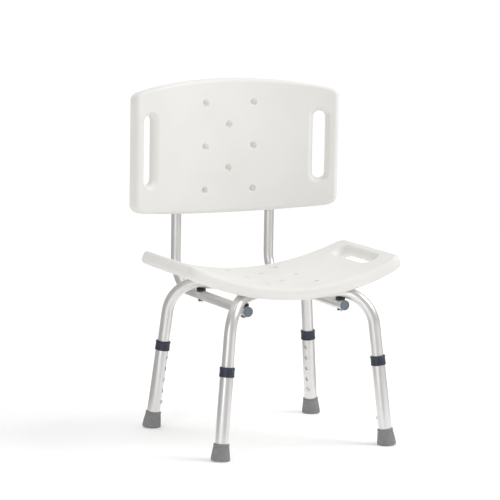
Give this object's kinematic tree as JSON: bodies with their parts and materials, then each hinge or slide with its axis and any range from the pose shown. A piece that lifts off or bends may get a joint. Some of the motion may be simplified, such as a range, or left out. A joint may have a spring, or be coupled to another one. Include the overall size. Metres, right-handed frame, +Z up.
{
  "type": "shower chair",
  "caption": "Shower chair with curved moulded seat and backrest, hand holds, splayed aluminium legs that telescope on snap buttons, and rubber tips.",
  "frame": {"origin": "on the floor, below the middle of the bounding box", "axes": "+Z up, the front of the seat faces -Y, and +X is at the left hand of a person who sits in the chair"},
  "size_m": [0.5136, 0.4545, 0.7699],
  "materials": {
    "moulded_plastic": "fine-grained blow-moulded polyethylene",
    "satin_aluminium": "satin anodised",
    "zinc_steel": "bright zinc plated",
    "navy_plastic": "moulded",
    "grey_blue_plastic": "moulded",
    "black_plastic": "moulded",
    "grey_rubber": "matt moulded"
  },
  "bodies": {
    "frame": {"seat": "moulded_plastic", "backrest": "moulded_plastic", "leg_tube_upper": "satin_aluminium", "leg_tube_lower": "satin_aluminium", "crossing_rivet": "zinc_steel", "back_tube_left": "satin_aluminium", "rail_cap_left": "grey_blue_plastic", "back_screw_low_left": "zinc_steel", "back_screw_high_left": "zinc_steel", "back_tube_right": "satin_aluminium", "rail_cap_right": "grey_blue_plastic", "back_screw_low_right": "zinc_steel", "back_screw_high_right": "zinc_steel", "snap_spring_front_left": "zinc_steel", "saddle_front_left": "black_plastic", "seat_bolt_front_left": "zinc_steel", "bolt_washer_front_left": "black_plastic", "snap_spring_front_right": "zinc_steel", "saddle_front_right": "black_plastic", "seat_bolt_front_right": "zinc_steel", "bolt_washer_front_right": "black_plastic", "snap_spring_rear_left": "zinc_steel", "saddle_rear_left": "black_plastic", "seat_bolt_rear_left": "zinc_steel", "bolt_washer_rear_left": "black_plastic", "snap_spring_rear_right": "zinc_steel", "saddle_rear_right": "black_plastic", "seat_bolt_rear_right": "zinc_steel", "bolt_washer_rear_right": "black_plastic"},
    "leg_front_left": {"lower_leg_front_left": "satin_aluminium", "collar_front_left": "navy_plastic", "rubber_tip_front_left": "grey_rubber"},
    "button_front_left": {"snap_button_front_left": "zinc_steel"},
    "leg_front_right": {"lower_leg_front_right": "satin_aluminium", "collar_front_right": "navy_plastic", "rubber_tip_front_right": "grey_rubber"},
    "button_front_right": {"snap_button_front_right": "zinc_steel"},
    "leg_rear_left": {"lower_leg_rear_left": "satin_aluminium", "collar_rear_left": "navy_plastic", "rubber_tip_rear_left": "grey_rubber"},
    "button_rear_left": {"snap_button_rear_left": "zinc_steel"},
    "leg_rear_right": {"lower_leg_rear_right": "satin_aluminium", "collar_rear_right": "navy_plastic", "rubber_tip_rear_right": "grey_rubber"},
    "button_rear_right": {"snap_button_rear_right": "zinc_steel"}
  },
  "joints": [
    {"name": "leg_slide_front_left", "type": "slide", "parent": "frame", "child": "leg_front_left", "axis": [-0.1032, -0.0724, -0.992], "range_m": [0, 0.1016], "deforming": ["snap_button_front_left"]},
    {"name": "button_press_front_left", "type": "slide", "parent": "frame", "child": "button_front_left", "axis": [-0.7434, -0.657, 0.1253], "range_m": [0, 0.0055], "stiffness_N_per_m": 900, "springref_m": -0.003, "deforming": ["snap_spring_front_left"]},
    {"name": "leg_slide_front_right", "type": "slide", "parent": "frame", "child": "leg_front_right", "axis": [0.1032, -0.0724, -0.992], "range_m": [0, 0.1016], "deforming": ["snap_button_front_right"]},
    {"name": "button_press_front_right", "type": "slide", "parent": "frame", "child": "button_front_right", "axis": [0.7434, -0.657, 0.1253], "range_m": [0, 0.0055], "stiffness_N_per_m": 900, "springref_m": -0.003, "deforming": ["snap_spring_front_right"]},
    {"name": "leg_slide_rear_left", "type": "slide", "parent": "frame", "child": "leg_rear_left", "axis": [-0.1032, 0.0724, -0.992], "range_m": [0, 0.1016], "deforming": ["snap_button_rear_left"]},
    {"name": "button_press_rear_left", "type": "slide", "parent": "frame", "child": "button_rear_left", "axis": [-0.7434, 0.657, 0.1253], "range_m": [0, 0.0055], "stiffness_N_per_m": 900, "springref_m": -0.003, "deforming": ["snap_spring_rear_left"]},
    {"name": "leg_slide_rear_right", "type": "slide", "parent": "frame", "child": "leg_rear_right", "axis": [0.1032, 0.0724, -0.992], "range_m": [0, 0.1016], "deforming": ["snap_button_rear_right"]},
    {"name": "button_press_rear_right", "type": "slide", "parent": "frame", "child": "button_rear_right", "axis": [0.7434, 0.657, 0.1253], "range_m": [0, 0.0055], "stiffness_N_per_m": 900, "springref_m": -0.003, "deforming": ["snap_spring_rear_right"]}
  ]
}
